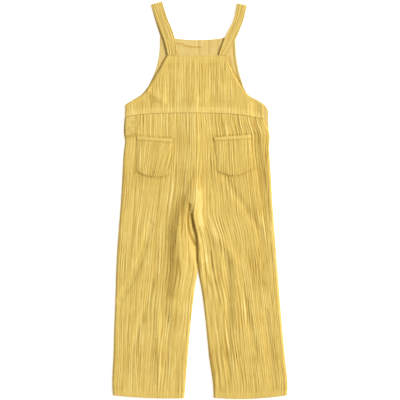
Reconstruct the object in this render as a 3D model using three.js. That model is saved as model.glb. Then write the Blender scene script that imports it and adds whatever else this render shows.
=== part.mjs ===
// A small child's dungarees of crinkled double cotton, laid flat on their front.
//
// Millimetres. X runs across, Y from the hems to the straps, and Z up from the surface that they
// rest on. The front (bib and two leg panels) is the under layer, with its inside face up. The back
// lies on it with its outside face up, and its bib is lower, so the front bib shows above it. Each
// strap rises from the back bib, folds over at the shoulder and comes down to the front bib.
//
// Every panel lies between two side edges, given as X for each height Y, and between a top line and
// a bottom line, given as Y for each X. "Left" is the wearer's left, at negative X.

import * as THREE from 'three';

// Cloth.
const CLOTH = 1.6; // wall of the crinkled double cotton
const HEM_CLOTH = 2.6; // wall where the edge is turned under and stitched
const SEAM = 0.3; // gap between pieces that are sewn together
const FACET_SLACK = 0.1; // what the facets of two curved edges can take from a seam's gap
const PUFF = 1.3; // how far the back's loose cloth stands off the front
const HEM_EASE = 30; // length over which the back rises onto the front's thicker hem
const EDGE_EASE = 0.16; // share of a panel's width over which it comes down to its side seam
const CROTCH = -8; // height where the back's legs part
const CROTCH_EASE = 45; // length above it over which the cloth rises onto the centre seam
const ROLL_EASE = 20; // width of the right leg's rolled inner edge

// Waist seam: highest a little left of the middle, falling to both sides.
const WAIST_TOP = 178;
const WAIST_PEAK_X = -20;
const WAIST_LEFT_REACH = 134;
const WAIST_LEFT_DROP = 8;
const WAIST_RIGHT_REACH = 151;
const WAIST_RIGHT_DROP = 13;
const FRONT_WAIST_DROP = 2.5; // how far the front's waist seam lies below the back's

// Top edges of the two bibs.
const BACK_BIB_TOP = 296;
const FRONT_BIB_CORNER = 337;
const FRONT_BIB_SAG = 9;

// Turned hems, as depths from the edge.
const BIB_HEM = 14;
const LEG_HEM = 10;
const POCKET_HEM = 8;
const HEM_STEP = 1.5; // length over which the wall steps from hem to single cloth

// Small parts on the back legs.
const POCKET_STAND = 0.8; // how far a pocket's middle bags out
const PLACKET = { left: -153, right: -130, drop: 41 };

const table = (columns, rows) =>
  rows.map((row) => Object.fromEntries(columns.map((column, index) => [column, row[index]])));

// Side edges of the bibs, from the top edge down to the waist seam, with the armholes.
const BACK_BIB_EDGES = table(['y', 'left', 'right'], [
  [297, -66, 55],
  [276, -78, 62],
  [253, -92, 73],
  [233, -105, 85],
  [220, -114, 94],
  [208, -131, 107],
  [200, -146, 122],
  [195, -152.5, 131],
  [186, -153, 131],
  [164, -154, 131],
]);
const FRONT_BIB_EDGES = table(['y', 'left', 'right'], [
  [338, -82, 73],
  [314, -82.5, 73.5],
  [296, -84, 75],
  [270, -90, 79],
  [247, -99, 85],
  [229, -109, 91],
  [214, -123, 101],
  [205, -138, 117],
  [196, -151, 131],
  [187, -153, 138],
  [162, -154, 140],
]);

// Side edges of the legs, from the waist to the hem. "inner" is the back panel's and "front" the front
// panel's, whose centre seam lies a little aside. "lift" raises the right back panel's inner edge,
// where it rolls over the left one at the crotch.
const LEFT_LEG_EDGES = table(['y', 'outer', 'inner', 'front', 'lift'], [
  [180, -153.5, -8, -5, 0],
  [134, -155.5, -8, -5, 0],
  [120, -153.5, -8, -5, 0],
  [104, -155.5, -8, -5, 0],
  [40, -159.5, -8.5, -6, 0],
  [-10, -162.5, -11, -9.6, 0],
  [-60, -166.5, -8.5, -8.7, 0],
  [-108, -170, -5, -5.4, 0],
  [-140, -171.5, -4.5, -4.9, 0],
  [-190, -173, -11.5, -11.5, 0],
  [-255, -175.5, -19, -19, 0],
  [-321, -177.5, -25, -25, 0],
  [-385, -179.5, -30, -30, 0],
  [-409, -177.5, -32, -32, 0],
]);
const RIGHT_LEG_EDGES = table(['y', 'outer', 'inner', 'front', 'lift'], [
  [180, 131, -7.7, -4.7, 0],
  [155, 135, -7.7, -4.7, 0],
  [142, 141, -7.7, -4.7, 0],
  [104, 142, -7.7, -4.7, 0],
  [40, 146, -8.2, -5.7, 0],
  [10, 147.7, -9.7, -7.8, 0.5],
  [-10, 148.5, -10.7, -9.2, 1.8],
  [-28, 150, -9.8, -8.9, 3.0],
  [-52, 152, -8.6, -8.4, 3.2],
  [-67, 153, -7.6, -7.7, 3.2],
  [-93, 155, -5.7, -5.9, 3.0],
  [-108, 156, -4.6, -5, 2.8],
  [-128, 157.6, -4.2, -4.5, 2.4],
  [-146, 159, -3.8, -3.8, 1.5],
  [-190, 162.5, 4, 4, 0],
  [-255, 168, 12, 12, 0],
  [-321, 174, 18.5, 18.5, 0],
  [-385, 179.5, 27, 27, 0],
  [-409, 178, 28, 28, 0],
]);
const FRONT_STRIP = table(['y', 'reach'], [
  [180, 9],
  [155, 5.6],
  [142, 0],
  [-409, 0],
]);
const LEFT_HEM = { outer: -400, inner: -406, sag: 2.5 };
const RIGHT_HEM = { outer: -400, inner: -405, sag: 4.5 };

// Largest folds of the back's cloth. A trough's height is negative. "left" and "right" are the reach
// of the slopes on the two sides of the crest, and "route" is the crest's line from the top down.
const FOLDS = table(['height', 'left', 'right', 'route'], [
  [2.2, 22, 15, [[-10, 200], [-11, 172], [-12, 100], [-13, 40], [-12, 0]]], // along the centre-back seam
  [2.8, 16, 16, [[-11, 30], [-9, -10], [-7, -45]]], // it rises towards the crotch
  [1.4, 10, 10, [[4, -58], [27, -74], [52, -92], [74, -128]]], // from the roll towards the right knee
  [1.6, 17, 30, [[-26, 12], [-36, -22], [-45, -62]]], // left leg's bulge beside the crotch
  [2.4, 17, 28, [[-36, -22], [-45, -62], [-43, -118]]],
  [2.8, 16, 26, [[-45, -62], [-43, -138], [-48, -181], [-58, -222]]],
  [-2.0, 7, 7, [[-102, -50], [-119, -114], [-143, -169], [-164, -206]]], // across the left thigh
  [1.3, 8, 8, [[-86, -225], [-86, -370]]], // down the left shin
  [-1.4, 7, 7, [[52, -110], [57, -180], [58, -290], [60, -360]]], // down the right leg
  [1.5, 8, 9, [[68, -125], [75, -190], [76, -255]]],
  [-2.6, 8, 7, [[112, 130], [120, 70], [131, 10], [136, -40]]], // over the right hip
  [-2.4, 8, 8, [[134, -230], [151, -385]]], // beside the right shin
  [1.5, 7, 7, [[-119, 231], [-78, 204]]], // under the left arm
  [-3.0, 7, 7, [[112, 200], [118, 165]]], // under the right arm
]);

// Patch pockets: side edges, then the slant of the mouth and the bow of the lower edge.
const LEFT_POCKET = {
  edges: table(['y', 'left', 'right'], [
    [131, -129, -56],
    [91, -129, -60],
    [56, -132, -65],
    [44, -132.5, -66],
  ]),
  mouth: { left: 130, right: 125 },
  foot: { left: 57, right: 55, bow: 9 },
};
const RIGHT_POCKET = {
  edges: table(['y', 'left', 'right'], [
    [134, 28, 104],
    [101, 31, 105.5],
    [75, 34, 108],
    [62, 32, 109],
    [46, 31.5, 109.5],
  ]),
  mouth: { left: 128, right: 133 },
  foot: { left: 64, right: 64, bow: 14 },
};

// Straps: edges from the front bib up to the fold at the shoulder, and from the fold down to the
// back bib. "base" is the height of the cloth's under side.
const STRAP_COLUMNS = ['leftX', 'leftY', 'rightX', 'rightY', 'base'];
const LEFT_STRAP = {
  rising: table(STRAP_COLUMNS, [
    [-82, 337.3, -61.5, 333.2, 0],
    [-90.5, 364, -69, 367, 0],
    [-100.5, 399, -77.5, 405.4, 0],
  ]),
  falling: table(STRAP_COLUMNS, [
    [-100, 399, -77, 405.2, 1.9],
    [-90, 370, -67, 373, 3.0],
    [-79.5, 343, -55.5, 345, 3.1],
    [-71, 319, -49, 319, 2.9],
    [-66, 296.3, -46, 296.3, 2.6],
  ]),
};
const RIGHT_STRAP = {
  rising: table(STRAP_COLUMNS, [
    [54, 333.4, 73, 337.3, 0],
    [68.5, 368, 87.5, 365, 0],
    [75.5, 402, 96, 397, 0],
  ]),
  falling: table(STRAP_COLUMNS, [
    [75.5, 402, 96, 397, 1.9],
    [69, 369, 88, 365, 3.0],
    [54.5, 340, 76, 335, 3.3],
    [46, 319, 66.5, 317, 2.9],
    [38.5, 296.3, 55, 296.3, 2.6],
  ]),
};
const STRAP_STEPS = 4; // sections between two rows of a strap's table
const TURN_STEPS = 6; // sections round the fold at the shoulder

// Colours of the cloth: the back's crinkled outside, and the smoother inside of the front.
const OUTSIDE = 0xdebe6a;
const INSIDE = 0xe6c87e;
const SMOOTH_BAND = 0xe0c070;

// ---- Interpolation ----

const mix = THREE.MathUtils.lerp;
const ease = (x) => THREE.MathUtils.smoothstep(x, 0, 1);

// Value of a table's column at a height, on a smooth curve through its rows (highest row first).
function atHeight(rows, column, y) {
  const last = rows.length - 2;
  const found = rows.findIndex((row, index) => index > 0 && y >= row.y);
  const index = found < 0 ? last : Math.min(found - 1, last);
  const slope = (from, to) => (rows[to][column] - rows[from][column]) / (rows[to].y - rows[from].y);
  const span = rows[index + 1].y - rows[index].y;
  const t = THREE.MathUtils.clamp((y - rows[index].y) / span, 0, 1);
  const start = slope(Math.max(index - 1, 0), index + 1) * span;
  const end = slope(index, Math.min(index + 2, rows.length - 1)) * span;
  const [a, b] = [rows[index][column], rows[index + 1][column]];
  return a + t * (start + t * (3 * (b - a) - 2 * start - end + t * (start + end - 2 * (b - a))));
}

const bow = (t) => 4 * t * (1 - t);

function waistLine(x) {
  const aside = x - WAIST_PEAK_X;
  const [reach, drop] = aside < 0 ? [WAIST_LEFT_REACH, WAIST_LEFT_DROP] : [WAIST_RIGHT_REACH, WAIST_RIGHT_DROP];
  return WAIST_TOP - drop * Math.abs(aside / reach) ** 3;
}

function frontBibLine(x) {
  const { left, right } = FRONT_BIB_EDGES[0];
  return FRONT_BIB_CORNER - FRONT_BIB_SAG * bow((x - left) / (right - left));
}

const hemLine = (hem, edges) => (x) => {
  const { outer, inner } = edges.at(-1);
  const t = (x - outer) / (inner - outer);
  return mix(hem.outer, hem.inner, t) - hem.sag * bow(t);
};
const leftHemLine = hemLine(LEFT_HEM, LEFT_LEG_EDGES);
const rightHemLine = hemLine(RIGHT_HEM, RIGHT_LEG_EDGES);

// Height of all the folds at one place: each is a round-topped ridge along its route.
function foldHeight(x, y) {
  const spot = new THREE.Vector2(x, y);
  return FOLDS.reduce((sum, { height, left, right, route }) => {
    const stretches = route.slice(1).map((end, index) => {
      const from = new THREE.Vector2(...route[index]);
      const run = new THREE.Vector2(...end).sub(from);
      const share = THREE.MathUtils.clamp(spot.clone().sub(from).dot(run) / run.lengthSq(), 0, 1);
      const off = spot.clone().sub(from).addScaledVector(run, -share);
      return { distance: off.length(), reach: run.cross(off) > 0 ? right : left };
    });
    const { distance, reach } = stretches.reduce((a, b) => (b.distance < a.distance ? b : a));
    return sum + height * Math.exp(-((distance / reach) ** 2));
  }, 0);
}

// ---- Cloth ----

// Closed body between two faces of a grid. place(u, v) gives the point of the under face and of the
// over face, and the rows are at the given values of v.
function sheet(columns, rows, place) {
  const positions = [];
  const faces = [0, 1];
  faces.forEach((face) => {
    rows.forEach((v) => {
      for (let column = 0; column <= columns; column++) {
        positions.push(...place(column / columns, v)[face]);
      }
    });
  });
  const last = rows.length - 1;
  const at = (face, row, column) => (face * rows.length + row) * (columns + 1) + column;
  const indices = [];
  const quad = (a, b, c, d) => indices.push(a, b, c, a, c, d);
  const rim = [];
  for (let row = 0; row < last; row++) {
    for (let column = 0; column < columns; column++) {
      const corners = [[row, column], [row + 1, column], [row + 1, column + 1], [row, column + 1]];
      quad(...corners.map(([r, c]) => at(1, r, c)));
      quad(...corners.reverse().map(([r, c]) => at(0, r, c)));
    }
  }
  for (let row = 0; row < last; row++) rim.push([row, 0]);
  for (let column = 0; column < columns; column++) rim.push([last, column]);
  for (let row = last; row > 0; row--) rim.push([row, columns]);
  for (let column = columns; column > 0; column--) rim.push([0, column]);
  rim.forEach((spot, index) => {
    const next = rim[(index + 1) % rim.length];
    quad(at(0, ...spot), at(0, ...next), at(1, ...next), at(1, ...spot));
  });
  const geometry = new THREE.BufferGeometry();
  geometry.setAttribute('position', new THREE.Float32BufferAttribute(positions, 3));
  geometry.setIndex(indices);
  geometry.computeVertexNormals();
  return geometry;
}

// Places of a panel's rows, as shares of its length, with a step at the inner edge of each hem.
function rowPlaces(count, length, topHem, bottomHem) {
  const start = topHem ? (topHem + HEM_STEP) / length : 0;
  const end = bottomHem ? 1 - (bottomHem + HEM_STEP) / length : 1;
  const middle = Array.from({ length: count + 1 }, (_, index) => mix(start, end, index / count));
  const head = topHem ? [0, topHem / length] : [];
  const tail = bottomHem ? [1 - bottomHem / length, 1] : [];
  return [...head, ...middle, ...tail];
}

const isTurned = (fromEdge, hem) => hem > 0 && fromEdge < hem + HEM_STEP / 2;

// Panel between left(y) and right(y), from top(x) down to bottom(x). base(x, y, u) is the height of
// its under side.
function panel({ left, right, top, bottom, base, columns, count, topHem = 0, bottomHem = 0 }) {
  const middle = (left(0) + right(0)) / 2;
  const length = top(middle) - bottom(middle);
  const place = (u, v) => {
    let x = mix(left(top(middle)), right(top(middle)), u);
    let y = 0;
    for (let pass = 0; pass < 6; pass++) {
      y = mix(top(x), bottom(x), v);
      x = mix(left(y), right(y), u);
    }
    const turned = isTurned(v * length, topHem) || isTurned((1 - v) * length, bottomHem);
    const z = base(x, y, u);
    return [[x, y, z], [x, y, z + (turned ? HEM_CLOTH : CLOTH)]];
  };
  return sheet(columns, rowPlaces(count, length, topHem, bottomHem), place);
}

// ---- Front: the under layer, flat on the surface ----

function frontBib() {
  return panel({
    left: (y) => atHeight(FRONT_BIB_EDGES, 'left', y),
    right: (y) => atHeight(FRONT_BIB_EDGES, 'right', y),
    top: frontBibLine,
    bottom: (x) => waistLine(x) - FRONT_WAIST_DROP + SEAM / 2,
    base: () => 0,
    columns: 16,
    count: 11,
    topHem: BIB_HEM,
  });
}

function frontLeg(sides, hem) {
  return panel({
    ...sides,
    top: (x) => waistLine(x) - FRONT_WAIST_DROP - SEAM / 2,
    bottom: hem,
    base: () => 0,
    columns: 8,
    count: 18,
    bottomHem: LEG_HEM,
  });
}

const frontLegLeft = () => frontLeg({
  left: (y) => atHeight(LEFT_LEG_EDGES, 'outer', y),
  right: (y) => atHeight(LEFT_LEG_EDGES, 'front', y),
}, leftHemLine);

const frontLegRight = () => frontLeg({
  left: (y) => atHeight(RIGHT_LEG_EDGES, 'front', y) + FACET_SLACK,
  right: (y) => atHeight(RIGHT_LEG_EDGES, 'outer', y) + atHeight(FRONT_STRIP, 'reach', y),
}, rightHemLine);

// ---- Back: the upper layer, lying on the front with its folds ----

const sideEase = (fromSide) => ease(fromSide / EDGE_EASE);

function backBib() {
  const base = (x, y, u) => {
    const loose = ease((BACK_BIB_TOP - y) / HEM_EASE);
    const folds = Math.max(PUFF + foldHeight(x, y), 0);
    return CLOTH + SEAM + sideEase(Math.min(u, 1 - u)) * loose * folds + (1 - loose) * PUFF / 2;
  };
  return panel({
    left: (y) => atHeight(BACK_BIB_EDGES, 'left', y),
    right: (y) => atHeight(BACK_BIB_EDGES, 'right', y),
    top: () => BACK_BIB_TOP,
    bottom: (x) => waistLine(x) + SEAM / 2 + FACET_SLACK,
    base,
    columns: 16,
    count: 10,
    topHem: BIB_HEM,
  });
}

// Height of a back leg's under side. It rests on the front panel, rises onto the thicker hem, and
// comes down to its seams, but stays loose across the centre seam above the crotch.
function backLegBase(side, hem, x, y) {
  const u = (x - side.outer(y)) / (side.inner(y) - side.outer(y));
  const rise = (HEM_CLOTH - CLOTH) * (1 - ease((y - hem(x) - LEG_HEM - HEM_STEP) / HEM_EASE));
  const roll = side.lift(y) * (1 - ease(Math.abs(x - side.inner(y)) / ROLL_EASE));
  const joined = ease((y - CROTCH) / CROTCH_EASE + 1);
  const loose = Math.max(PUFF + foldHeight(x, y), 0);
  return CLOTH + SEAM + rise + roll + sideEase(u) * Math.max(sideEase(1 - u), joined) * loose;
}

const legSide = (edges) => ({
  outer: (y) => atHeight(edges, 'outer', y),
  inner: (y) => atHeight(edges, 'inner', y),
  lift: (y) => Math.max(atHeight(edges, 'lift', y), 0),
});
const LEFT_SIDE = legSide(LEFT_LEG_EDGES);
const RIGHT_SIDE = legSide(RIGHT_LEG_EDGES);
const leftLegBase = (x, y) => backLegBase(LEFT_SIDE, leftHemLine, x, y);
const rightLegBase = (x, y) => backLegBase(RIGHT_SIDE, rightHemLine, x, y);

function backLeg(left, right, hem, base) {
  return panel({
    left,
    right,
    top: (x) => waistLine(x) - SEAM / 2,
    bottom: hem,
    base,
    columns: 16,
    count: 28,
    bottomHem: LEG_HEM,
  });
}

const backLegLeft = () => backLeg(LEFT_SIDE.outer, LEFT_SIDE.inner, leftHemLine, leftLegBase);
const backLegRight = () => backLeg(RIGHT_SIDE.inner, RIGHT_SIDE.outer, rightHemLine, rightLegBase);

// Patch pocket on a back leg, its points those of the leg's face moved out.
function pocket({ edges, mouth, foot }, legBase) {
  const across = (x, line) => (x - edges[0].left) / (edges[0].right - edges[0].left) * (line.right - line.left);
  return panel({
    left: (y) => atHeight(edges, 'left', y),
    right: (y) => atHeight(edges, 'right', y),
    top: (x) => mouth.left + across(x, mouth),
    bottom: (x) => {
      const t = (x - edges[0].left) / (edges[0].right - edges[0].left);
      return foot.left + across(x, foot) - foot.bow * Math.max(bow(t), 0);
    },
    base: (x, y, u) => legBase(x, y) + CLOTH + SEAM + POCKET_STAND * bow(u),
    columns: 8,
    count: 5,
    topHem: POCKET_HEM,
  });
}

// Facing of the side opening, sewn on at the left end of the waist seam.
function placket() {
  return panel({
    left: () => PLACKET.left,
    right: () => PLACKET.right,
    top: (x) => waistLine(x) - 1,
    bottom: (x) => waistLine(x) - PLACKET.drop,
    base: (x, y) => leftLegBase(x, y) + CLOTH + SEAM + FACET_SLACK,
    columns: 3,
    count: 4,
  });
}

// Strap, from the front bib's corner up to the shoulder, over the fold and down to the back bib's
// corner. Its over face is outward: down on the rising half, up on the falling half.
function strap({ rising, falling }) {
  const smooth = (rows, x, y) => {
    const curve = new THREE.CatmullRomCurve3(rows.map((row) => new THREE.Vector3(row[x], row[y], row.base)));
    return curve.getPoints((rows.length - 1) * STRAP_STEPS);
  };
  const half = (rows, outward) => {
    const rights = smooth(rows, 'rightX', 'rightY');
    return smooth(rows, 'leftX', 'leftY').map((left, index) => [left, rights[index]].map((spot) => {
      const faces = [spot.z, spot.z + CLOTH].map((z) => [spot.x, spot.y, z]);
      return outward > 0 ? faces : faces.reverse();
    }));
  };
  const [up, down] = [half(rising, -1), half(falling, 1)];
  const corners = (edge) => [up.at(-1)[edge], down[0][edge]];
  const turn = Array.from({ length: TURN_STEPS - 1 }, (_, index) => {
    const angle = Math.PI * (index + 1) / TURN_STEPS;
    return [0, 1].map((edge) => [0, 1].map((face) => {
      const [below, above] = corners(edge).map((faces) => new THREE.Vector3(...faces[face]));
      const centre = below.clone().add(above).multiplyScalar(0.5);
      const radius = (above.z - below.z) / 2;
      const swing = Math.sin(angle) * radius;
      const along = centre.clone().sub(below).setZ(0).multiplyScalar(-Math.cos(angle));
      const out = new THREE.Vector3(...shoulderDirection(up.at(-1)), 0).multiplyScalar(swing);
      return centre.add(along).add(out).setZ((below.z + above.z) / 2 - Math.cos(angle) * radius).toArray();
    }));
  });
  const sections = [...up, ...turn, ...down];
  const rows = sections.map((_, index) => index);
  return sheet(2, rows, (u, v) => [0, 1].map((face) => {
    const [left, right] = sections[v].map((faces) => new THREE.Vector3(...faces[face]));
    return left.lerp(right, u).toArray();
  }));
}

// Unit direction past the fold, square to the strap's end.
function shoulderDirection([left, right]) {
  const [x, y] = [right[0][0] - left[0][0], right[0][1] - left[0][1]];
  const length = Math.hypot(x, y);
  return [-y / length, x / length];
}

// ---- Assembly ----

const PIECES = [
  ['front_bib', frontBib, INSIDE],
  ['front_leg_left', frontLegLeft, INSIDE],
  ['front_leg_right', frontLegRight, INSIDE],
  ['back_bib', backBib, OUTSIDE],
  ['back_leg_left', backLegLeft, OUTSIDE],
  ['back_leg_right', backLegRight, OUTSIDE],
  ['pocket_left', () => pocket(LEFT_POCKET, leftLegBase), OUTSIDE],
  ['pocket_right', () => pocket(RIGHT_POCKET, rightLegBase), OUTSIDE],
  ['placket_left', placket, SMOOTH_BAND],
  ['strap_left', () => strap(LEFT_STRAP), SMOOTH_BAND],
  ['strap_right', () => strap(RIGHT_STRAP), SMOOTH_BAND],
];

const dungarees = new THREE.Group();
PIECES.forEach(([name, shape, color]) => {
  const cloth = new THREE.MeshStandardMaterial({ color, roughness: 0.9, metalness: 0 });
  const piece = new THREE.Mesh(shape(), cloth);
  piece.name = name;
  dungarees.add(piece);
});

export default dungarees;
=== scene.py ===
import math

import bpy
import numpy as np
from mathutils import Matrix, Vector


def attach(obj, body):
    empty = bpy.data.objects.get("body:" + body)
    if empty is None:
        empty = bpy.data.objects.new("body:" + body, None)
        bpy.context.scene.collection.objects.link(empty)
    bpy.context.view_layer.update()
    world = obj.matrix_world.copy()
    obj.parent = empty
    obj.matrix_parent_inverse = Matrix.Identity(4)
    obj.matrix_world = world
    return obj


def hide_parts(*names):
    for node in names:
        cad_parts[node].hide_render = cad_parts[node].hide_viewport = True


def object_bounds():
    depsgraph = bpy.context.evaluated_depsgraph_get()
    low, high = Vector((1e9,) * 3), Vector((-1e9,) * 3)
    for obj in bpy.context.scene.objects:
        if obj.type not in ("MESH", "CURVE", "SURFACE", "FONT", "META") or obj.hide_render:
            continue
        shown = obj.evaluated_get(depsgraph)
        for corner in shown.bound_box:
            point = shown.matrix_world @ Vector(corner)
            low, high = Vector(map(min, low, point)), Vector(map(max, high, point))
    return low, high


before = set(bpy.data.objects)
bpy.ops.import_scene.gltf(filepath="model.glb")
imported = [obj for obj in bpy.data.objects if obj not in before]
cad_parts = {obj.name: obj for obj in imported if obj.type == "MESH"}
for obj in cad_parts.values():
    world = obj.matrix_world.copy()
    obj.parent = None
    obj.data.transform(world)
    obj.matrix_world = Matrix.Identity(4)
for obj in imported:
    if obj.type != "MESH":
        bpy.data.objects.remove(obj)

CAD_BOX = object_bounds()
MM = 0.001

# ---- Sizes that the part's solids share ----

CLOTH = 1.6
SEAM = 0.3
PUFF = 1.3
HEM_RISE = 1.0
HEM_EASE = 30
INNER_EASE = 20
WAIST_TOP = 178
WAIST_PEAK_X = -20
WAIST_LEFT = (134, 8)
WAIST_RIGHT = (151, 13)
BACK_BIB_TOP = 296
FRONT_BIB_CORNER = 337
FRONT_BIB_SAG = 9
FRONT_WAIST_DROP = 2.5
BIB_HEM = 14
LEG_HEM = 10
POCKET_HEM = 8
POCKET_STAND = 0.8

BACK_BIB_EDGES = dict(
    y=[297, 276, 253, 233, 220, 208, 200, 195, 186, 164],
    left=[-66, -78, -92, -105, -114, -131, -146, -152.5, -153, -154],
    right=[55, 62, 73, 85, 94, 107, 122, 131, 131, 131],
)
FRONT_BIB_EDGES = dict(
    y=[338, 314, 296, 270, 247, 229, 214, 205, 196, 187, 162],
    left=[-82, -82.5, -84, -90, -99, -109, -123, -138, -151, -153, -154],
    right=[73, 73.5, 75, 79, 85, 91, 101, 117, 131, 138, 140],
)
LEFT_LEG_EDGES = dict(
    y=[180, 134, 120, 104, 40, -10, -60, -108, -140, -190, -255, -321, -385, -409],
    outer=[-153.5, -155.5, -153.5, -155.5, -159.5, -162.5, -166.5, -170, -171.5, -173, -175.5, -177.5,
           -179.5, -177.5],
    inner=[-8, -8, -8, -8, -8.5, -11, -8.5, -5, -4.5, -11.5, -19, -25, -30, -32],
)
RIGHT_LEG_EDGES = dict(
    y=[180, 155, 142, 104, 40, 10, -10, -28, -52, -67, -93, -128, -146, -190, -255, -321, -385, -409],
    outer=[131, 135, 141, 142, 146, 147.7, 148.5, 150, 152, 153, 155, 157.6, 159, 162.5, 168, 174, 179.5,
           178],
    inner=[-7.7, -7.7, -7.7, -7.7, -8.2, -10, -13, -17, -13.5, -9.5, -6.5, -6, -3.8, 4, 12, 18.5, 27, 28],
    lift=[0, 0, 0, 0, 0, 0.3, 1.0, 1.9, 2.4, 2.4, 2.0, 1.5, 0.9, 0, 0, 0, 0, 0],
)
LEFT_FRONT_EDGES = dict(
    y=LEFT_LEG_EDGES["y"], outer=LEFT_LEG_EDGES["outer"],
    inner=[-5, -5, -5, -5, -6, -9.5, -8.5, -5, -4.5, -11.5, -19, -25, -30, -32],
)
RIGHT_FRONT_EDGES = dict(
    y=[180, 155, 142, 104, 40, -10, -60, -108, -140, -190, -255, -321, -385, -409],
    outer=[140, 140.6, 141, 142, 146, 148.5, 152.5, 156, 158.5, 162.5, 168, 174, 179.5, 178],
    inner=[-4.7, -4.7, -4.7, -4.7, -5.7, -9.2, -8.2, -4.7, -4.2, 4, 12, 18.5, 27, 28],
)
LEFT_HEM = dict(outer=-400, inner=-406, sag=2.5)
RIGHT_HEM = dict(outer=-400, inner=-405, sag=4.5)

# The back's folds: height (a trough's is negative), reach to the left and right of the crest, and the
# crest's route from the top down.
FOLDS = [
    (2.2, 22, 15, [(-10, 200), (-11, 172), (-12, 100), (-13, 40), (-12, 0)]),  # along the centre-back seam
    (2.8, 16, 16, [(-11, 30), (-9, -10), (-7, -45)]),  # it rises towards the crotch
    (1.4, 10, 10, [(4, -58), (27, -74), (52, -92), (74, -128)]),  # from the roll towards the right knee
    (1.6, 17, 30, [(-26, 12), (-36, -22), (-45, -62)]),  # left leg's bulge
    (2.4, 17, 28, [(-36, -22), (-45, -62), (-43, -118)]),
    (2.8, 16, 26, [(-45, -62), (-43, -138), (-48, -181), (-58, -222)]),
    (-2.2, 3.5, 3.5, [(-22, -11), (-25, -35), (-24, -55), (-20, -71), (-10, -91)]),  # hollow in the crotch
    (-2.0, 6, 6, [(-102, -50), (-119, -114), (-143, -169), (-164, -206)]),
    (-1.0, 6, 6, [(-92, -155), (-108, -206), (-139, -308)]),
    (1.3, 7, 7, [(-86, -225), (-86, -370)]),
    (-0.8, 6, 6, [(-62, -195), (-67, -300), (-70, -360)]),
    (-3.0, 5, 5, [(18, -112), (21, -142)]),  # dimple on the right thigh
    (-1.4, 6, 6, [(52, -110), (57, -180), (58, -290), (60, -360)]),
    (1.5, 8, 9, [(68, -125), (75, -190), (76, -255)]),
    (-1.2, 7, 7, [(51, 48), (61, 26), (92, -15), (123, -67), (133, -128)]),
    (-2.6, 8, 7, [(112, 130), (120, 70), (131, 10), (136, -40)]),
    (-2.4, 7, 6, [(134, -230), (151, -385)]),
    (-1.1, 6, 6, [(92, -206), (112, -308)]),
    (1.5, 7, 7, [(-119, 231), (-78, 204)]),  # under the left arm
    (-0.8, 6, 6, [(-64, 255), (-66, 204)]),
    (-3.0, 7, 7, [(112, 200), (118, 165)]),  # under the right arm
    (-0.7, 9, 9, [(22, 282), (26, 200)]),
]

# Painted shade (negative) and painted highlight (positive) on the back, added to its relief in the same
# form.
PAINTED_SHADE_AND_HIGHLIGHT = [
    (-4.5, 1.8, 1.8, [(-17, -30), (-14.5, -42), (-12, -54)]),  # painted shade in the darkest of the crotch
    (-2.2, 2.0, 1.6, [(-13, -52), (-7.5, -69), (-5, -89), (-4.5, -128)]),
    (-2.4, 3.0, 3.0, [(-22, -10), (-24.5, -35), (-24.5, -52), (-20.5, -71), (-11, -90)]),
    (0.8, 10, 10, [(-3, 12), (-1, -20), (3, -48)]),  # painted highlight on the smooth top of the roll
    (0.7, 4, 4, [(4, -62), (9, -90), (10, -125)]),
    (-0.4, 16, 16, [(118, 160), (128, 70), (135, -20)]),  # painted shade over the right hip
    (-1.1, 14, 12, [(-36, -5), (-48, -40), (-57, -80), (-56, -134), (-60, -190)]),  # painted shade beside the left bulge
]

# Where the crepe is pulled smooth, as a share.
SMOOTH = [
    (0.7, 10, 10, [(-4, 14), (-2, -20), (2, -48)]),  # over the roll
    (0.7, 11, 11, [(-144, 130), (-147, 65)]),  # below the placket
]

# Routes on the front bib's inside: pressed lines of the top facing, and the lines where the back bib's edges
# cast their shadow on it.
UPPER_FACING = [(-50, 320.5), (-34, 319.5)]
LOWER_FACING = [(-34, 315.5), (-16, 313.5), (2, 313)]
LEFT_EDGE_SHADOW = [(-68, 296), (-85, 262), (-101, 229)]
RIGHT_EDGE_SHADOW = [(59.5, 293), (64, 270), (78, 247), (103, 217), (128, 198)]

# The front bib's own folds, whose troughs also carry painted shade and whose ridges carry painted highlight,
# in the forms above.
FRONT_FOLDS = [
    (-0.45, 1.3, 1.3, UPPER_FACING),
    (-0.4, 1.3, 1.3, LOWER_FACING),
    (0.5, 1.3, 1.3, [(-48, 323), (-34, 322), (-14, 316.5), (2, 316)]),
    (-0.5, 2, 2, [(67, 322), (69, 290), (75, 258), (84, 232), (96, 212)]),  # along the right armhole
    (0.7, 3, 3, [(72, 318), (73, 290), (79, 260), (88, 234)]),
    (-0.4, 1.5, 2.5, [(-4, 326), (-3, 300)]),
    (-0.4, 1.5, 2.5, [(17, 326), (16, 300)]),
    (-0.3, 1.5, 2.5, [(35, 328), (34, 302)]),
    (-0.3, 2.2, 2.2, [(-81, 341), (-73, 319), (-67.5, 297)]),  # a shallow dent along each strap's left edge, darkened as the straps' painted shadow
    (-0.3, 2.2, 2.2, [(53, 338), (44.5, 319), (37, 297)]),
    (-0.3, 2.2, 2.2, LEFT_EDGE_SHADOW),
    (-0.3, 1.8, 2.2, RIGHT_EDGE_SHADOW),
]
# Painted shade along the facing's pressed lines, and painted shadow of the back bib's edges, in the same
# form.
FRONT_PAINTED_SHADE = [
    (-2.0, 1.3, 1.3, UPPER_FACING),
    (-1.5, 1.3, 1.3, LOWER_FACING),
    (-0.6, 2.2, 2.2, LEFT_EDGE_SHADOW),
    (-0.9, 1.8, 2.2, RIGHT_EDGE_SHADOW),
]

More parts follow.
